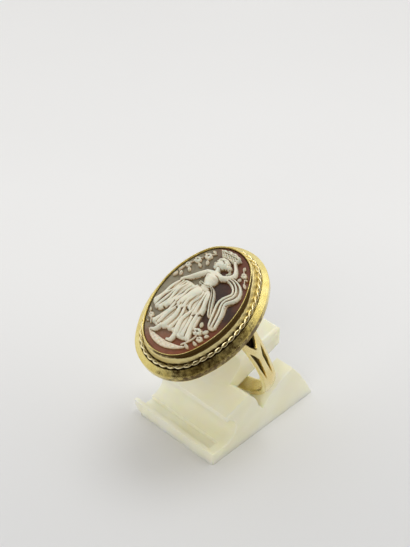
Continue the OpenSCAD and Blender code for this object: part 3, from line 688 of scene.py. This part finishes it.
# hollows between the forms, for the painted shade and stain in them
hollow = np.clip(np.maximum((softer(relief, 8) - relief) * 8, (softer(relief, 30) - relief) * 3.2), 0, 1)
hollow = np.maximum(hollow, drilled) * (relief > 0.02)
face = np.stack([acrossX, alongY, faceZ], -1).reshape(-1, 3)
grid = np.arange(cameo["rows"] * cameo["columns"]).reshape(cameo["rows"], cameo["columns"])
edgeLoop = np.concatenate([grid[0, :-1], grid[:-1, -1], grid[-1, :0:-1], grid[:0:-1, 0]])
foot = face[edgeLoop].copy()
foot[:, 2] = cameo["underside"]
loop = np.arange(len(edgeLoop))
footIndex = len(face) + loop
walls = np.stack([edgeLoop, footIndex, np.roll(footIndex, -1), np.roll(edgeLoop, -1)], -1)
faces = skin(cameo["rows"], cameo["columns"]).tolist() + walls.tolist() + [footIndex.tolist()]
bare = np.zeros(len(foot))
makePiece("cameo_relief", onTheFace(np.concatenate([face, foot])), faces, shellFinish(), "cameo", 60,
          {"carve": np.append(relief / cameo["fullCarve"], bare), "hollow": np.append(hollow, bare),
           "across": np.append(acrossX, foot[:, 0]), "along": np.append(alongY, foot[:, 1])})


# the stand's side view is in distance behind the front edge and height; a cove is its middle and radius
stand = {"width": 15.4, "depth": 22.0, "back": 8.5, "lip": 2.2, "cove": (2.61, 4.5, 2.39), "slab": (2.85, 7.75),
         "slabBack": (7.2, 9.1), "slabFoot": (9.7, 5.6), "groove": (10.75, 4.2), "rearTop": (17.2, 8.1),
         "slot": (-15.4, 6.2, 0.72, 2.58), "slotDrop": 0.75, "tabOut": 1.1, "tabUp": 0.15, "cornerRadius": 0.6,
         "notchWidth": 9.0, "notchFrom": 9.1, "fingerWidth": 8.4, "fingerTall": 12, "tipRadius": 2.0, "tipAt": 19.2,
         "fingerUnder": ((6.5, 5.25), (16.4, 8.5)), "fingerOver": ((10.0, 11.9), (17.9, 13.25)),
         "fingerTip": [(18.2, 9.65), (19.05, 10.5), (19.2, 11.05), (18.5, 12.55), (18.25, 13.05)],
         "fingerRoot": (5.4, 8.2), "bevel": 0.17, "bevelOver": 38}


def solid(points):  # from two like outlines in metres, one after the other, and the walls between them
    count = len(points) // 2
    faces = [list(range(count)), list(range(2 * count - 1, count - 1, -1))]
    faces += [[i, i + count, (i + 1) % count + count, (i + 1) % count] for i in range(count)]
    mesh = bpy.data.meshes.new("blank")
    mesh.from_pydata([tuple(p) for p in points], [], faces)
    work = bmesh.new()
    work.from_mesh(mesh)
    bmesh.ops.recalc_face_normals(work, faces=work.faces)
    work.to_mesh(mesh)
    work.free()
    thing = bpy.data.objects.new("blank", mesh)
    bpy.context.scene.collection.objects.link(thing)
    return thing


def fromFront(x, y, z):  # millimetres across, behind the front edge and up, to the shared frame
    return x * mm, (y - stand["back"]) * mm, z * mm


def prism(outline, low, high):  # a side view drawn out across
    return solid([fromFront(x, y, z) for x in (low, high) for y, z in outline])


def upright(plan):  # a plan drawn up through the whole stand
    return solid([fromFront(x, y, z) for z in (-1, 20) for x, y in plan])


def boxAt(x0, x1, y0, y1, z0, z1):
    return prism([(y0, z0), (y1, z0), (y1, z1), (y0, z1)], x0, x1)


def settle(thing):  # keeps what the modifiers make
    bpy.context.view_layer.update()
    mesh = bpy.data.meshes.new_from_object(thing.evaluated_get(bpy.context.evaluated_depsgraph_get()))
    thing.modifiers.clear()
    thing.data = mesh


def combine(thing, tool, way):
    change = thing.modifiers.new("cut", "BOOLEAN")
    change.operation, change.object, change.solver = way, tool, "EXACT"
    settle(thing)
    bpy.data.objects.remove(tool)


standHalf, standDepth, standLip = stand["width"] / 2, stand["depth"], stand["lip"]
coveY, coveZ, coveRadius = stand["cove"]
coveEnd = acos((stand["slab"][0] + 0.02 - coveY) / coveRadius)
coveLow = coveY - coveRadius * cos(asin((standLip - 0.05 - coveZ) / coveRadius))
cove = [(coveY + coveRadius * cos(a), coveZ + coveRadius * sin(a)) for a in np.linspace(-pi / 2, coveEnd, 26)]
sideView = ([(0, 0), (0, standLip), (coveLow, standLip - 0.05)] + cove + [stand["slab"]]
            + arcPoints(stand["slabBack"], stand["slabFoot"], 0.45, 8)
            + arcPoints(stand["groove"], stand["rearTop"], 0.68, 12)
            + arcPoints(stand["rearTop"], (standDepth, 0), 0.3, 14)[1:])
block = prism(sideView, -standHalf, standHalf)
slotLeft, slotRight, slotFront, slotBack = stand["slot"]
slotFloor = standLip - stand["slotDrop"]
combine(block, boxAt(slotLeft, slotRight, slotFront, slotBack, slotFloor, standLip + 0.4), "DIFFERENCE")
notchHalf = stand["notchWidth"] / 2
combine(block, boxAt(-notchHalf, notchHalf, stand["notchFrom"], standDepth + 5, -1, 14), "DIFFERENCE")
# the front's upright edges are rounded in plan
rounding = stand["cornerRadius"]
combine(block, upright(softened([(-standHalf, 0, rounding), (standHalf, 0, rounding),
                                 (standHalf, standDepth + 1), (-standHalf, standDepth + 1)], 6)), "INTERSECT")


def fingerBar(line, lift, lowRadius, highRadius):  # the finger's section, run along a line of its side view
    half, tall = stand["fingerWidth"] / 2, stand["fingerTall"]
    section = softened([(half, 0, lowRadius), (half, tall, highRadius),
                        (-half, tall, highRadius), (-half, 0, lowRadius)], 8)
    (y0, z0), (y1, z1) = line
    size = hypot(y1 - y0, z1 - z0)
    goY, goZ = (y1 - y0) / size, (z1 - z0) / size
    start, forward, up = Vector((0, y0 - stand["back"], z0)), Vector((0, goY, goZ)), Vector((0, -goZ, goY))
    return solid([(start + forward * run + up * (v - lift) + Vector((u, 0, 0))) * mm
                  for run in (-14, 24) for u, v in section])


fingerView = ([*stand["fingerUnder"], *stand["fingerTip"], stand["fingerOver"][1]]
              + arcPoints(stand["fingerOver"][0], stand["fingerRoot"], 0.35, 8))
fingerHalf, tip, r = stand["fingerWidth"] / 2, stand["tipAt"], stand["tipRadius"]
finger = prism(fingerView, -fingerHalf, fingerHalf)
combine(finger, fingerBar(stand["fingerUnder"], 0, 2.3, 0.5), "INTERSECT")
combine(finger, fingerBar(stand["fingerOver"], stand["fingerTall"], 0.5, 1.2), "INTERSECT")
# the lip's left end stands out beyond the side
tabSide, tabEnd = -standHalf, -standHalf - stand["tabOut"]
tabView = [(tabSide + 0.7, 0.3), (tabSide, 0.5), (tabEnd, 1.5), (tabEnd, standLip + stand["tabUp"]),
           (tabSide + 0.7, standLip)]
combine(block, solid([fromFront(x, y, z) for y in (0, slotFront) for x, z in tabView]), "UNION")
# the finger's tip is round in plan
tipArc = [(fingerHalf - r + r * cos(a), tip - r + r * sin(a)) for a in np.linspace(0, pi / 2, 9)]
tipPlan = [(-fingerHalf, 4), (fingerHalf, 4)] + tipArc + [(-x, y) for x, y in tipArc[::-1]]
combine(finger, upright(tipPlan), "INTERSECT")
combine(block, finger, "UNION")
edges = block.modifiers.new("edges", "BEVEL")
edges.width, edges.segments = stand["bevel"] * mm, 3
edges.limit_method, edges.angle_limit = "ANGLE", radians(stand["bevelOver"])
settle(block)
finishPiece("stand_block", block.data, plasticFinish(), "display_stand", 30)
bpy.data.objects.remove(block)


# a glow has a direction, the cosines of its edge and of its full strength, and a colour
room = {"floorHalf": 1.5, "floorLitFar": (0.89, 0.89, 0.89), "floorShadedNear": (0.66, 0.665, 0.67), "floorReach": 60,
        "floorCloud": (0.80, 0.80, 0.80), "skyStrength": 0.82,
        "glows": [((-0.95, -0.05, 0.30), 0.60, 0.95, (1.15, 1.15, 1.15)),
                  ((0.30, 0.55, 0.75), 0.80, 0.97, (1.4, 1.4, 1.38)),
                  ((0.50, -0.58, 0.62), 0.45, 0.80, (0.09, 0.062, 0.022))],
        # name, place in metres, size, watts, mirrored in the gold
        "lamps": [("key", (0.03, 0.12, 0.48), 0.26, 0.5, True), ("fill", (0.22, -0.42, 0.38), 0.45, 1.3, False)],
        "lampsAim": (0, 0, 0.012)}


def floorFinish():
    f = Finish("pale_paper")
    # the floor's colour is painted light and shade: lighter far off, darker on the camera's side
    ahead = f.toward(f.place(), (0.7, -0.7, 0)).between(-room["floorReach"], room["floorReach"])
    tone = f.mix(ahead, room["floorLitFar"], room["floorShadedNear"])
    tone = f.mix(f.noise(0.02, 3.0).between(0.3, 0.7) * 0.1, tone, room["floorCloud"])
    return f.surface(Base_Color=tone, Roughness=0.75, Normal=f.bump(f.noise(3.0, 3.0), 0.05, 0.02))


reach = room["floorHalf"]
floorMesh = bpy.data.meshes.new("floor")
floorMesh.from_pydata([(-reach, -reach, 0), (reach, -reach, 0), (reach, reach, 0), (-reach, reach, 0)], [],
                      [[0, 1, 2, 3]])
floorMesh.materials.append(floorFinish())
floor = bpy.data.objects.new("floor", floorMesh)
bpy.context.scene.collection.objects.link(floor)

world = bpy.data.worlds.new("soft_room")
bpy.context.scene.world = world
sky = Finish("soft_room", world)
spot, shade = sky.wire("ShaderNodeTexCoord", out="Generated"), (1.0, 1.0, 1.0)
for way, edge, full, colour in room["glows"]:
    shade = sky.mix(sky.toward(spot, tuple(Vector(way).normalized())).between(edge, full), shade, colour)
glow = sky.add("ShaderNodeBackground", {}, {"Color": shade, "Strength": room["skyStrength"]})
sky.tree.links.new(glow.outputs[0], sky.add("ShaderNodeOutputWorld").inputs[0])

for name, where, size, watts, mirrored in room["lamps"]:
    lamp = bpy.data.lights.new(name, "AREA")
    lamp.shape, lamp.size, lamp.energy = "DISK", size, watts
    held = bpy.data.objects.new(name, lamp)
    held.location = where
    held.rotation_mode = "QUATERNION"
    held.rotation_quaternion = (Vector(room["lampsAim"]) - Vector(where)).to_track_quat("-Z", "Y")
    held.visible_glossy = mirrored
    bpy.context.scene.collection.objects.link(held)
print("room:", len(room["lamps"]), "lamps,", len(room["glows"]), "glows")

eye = {"from": (99.358, -103.162, 138.922), "to": (-24.929, 23.148, 0.0), "lens": 85.57, "film": 36}
cameraData = bpy.data.cameras.new("camera")
cameraData.lens, cameraData.sensor_width = eye["lens"], eye["film"]
cameraData.clip_start, cameraData.clip_end = 0.005, 20
camera = bpy.data.objects.new("camera", cameraData)
camera.location = Vector(eye["from"]) * mm
camera.rotation_mode = "QUATERNION"
camera.rotation_quaternion = (Vector(eye["to"]) - Vector(eye["from"])).to_track_quat("-Z", "Y")
bpy.context.scene.collection.objects.link(camera)
bpy.context.scene.camera = camera
bpy.context.scene.view_settings.view_transform = "Standard"
